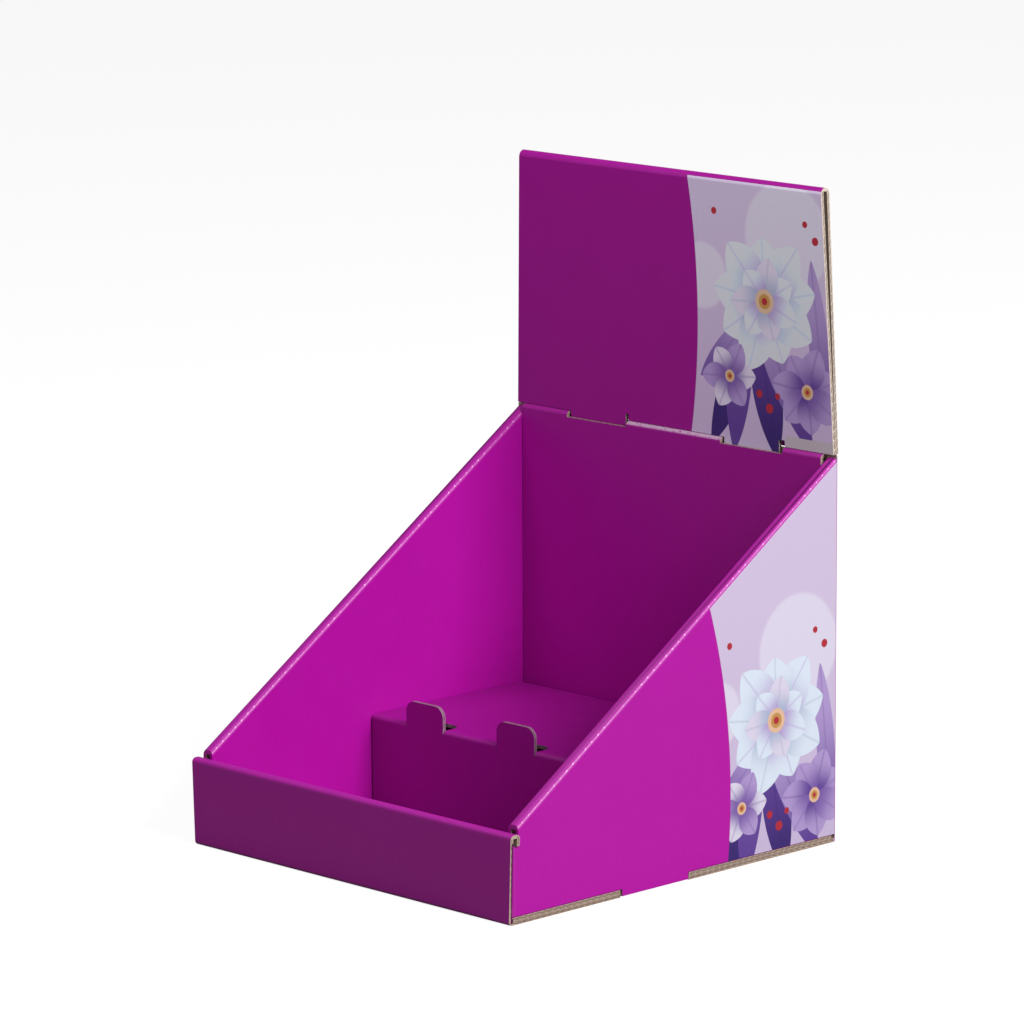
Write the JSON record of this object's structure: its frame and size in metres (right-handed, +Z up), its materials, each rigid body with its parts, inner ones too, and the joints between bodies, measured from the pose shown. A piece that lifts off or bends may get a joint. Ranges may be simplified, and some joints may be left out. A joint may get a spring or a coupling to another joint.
{
  "type": "counter display box",
  "caption": "Open counter display box of folded printed board: low front, sloped sides, tall back, inner step with stop tabs, and a plug-in header card.",
  "frame": {"origin": "middle of the box on the surface it stands on: centre of the bounding box's bottom", "axes": "+Z up, the low front wall faces -Y, +X to the right as seen from the front"},
  "size_m": [0.2026, 0.2052, 0.2941],
  "materials": {
    "tray_board": "purple print under satin film, raw tan board at the cut edges",
    "riser_board": "purple print under satin film, raw tan board at the cut edges",
    "header_board": "purple print with a pale lilac field under satin film, raw tan board at the cut edges"
  },
  "bodies": {
    "root": {"tray": "tray_board", "riser": "riser_board", "header_card": "header_board"}
  },
  "joints": []
}
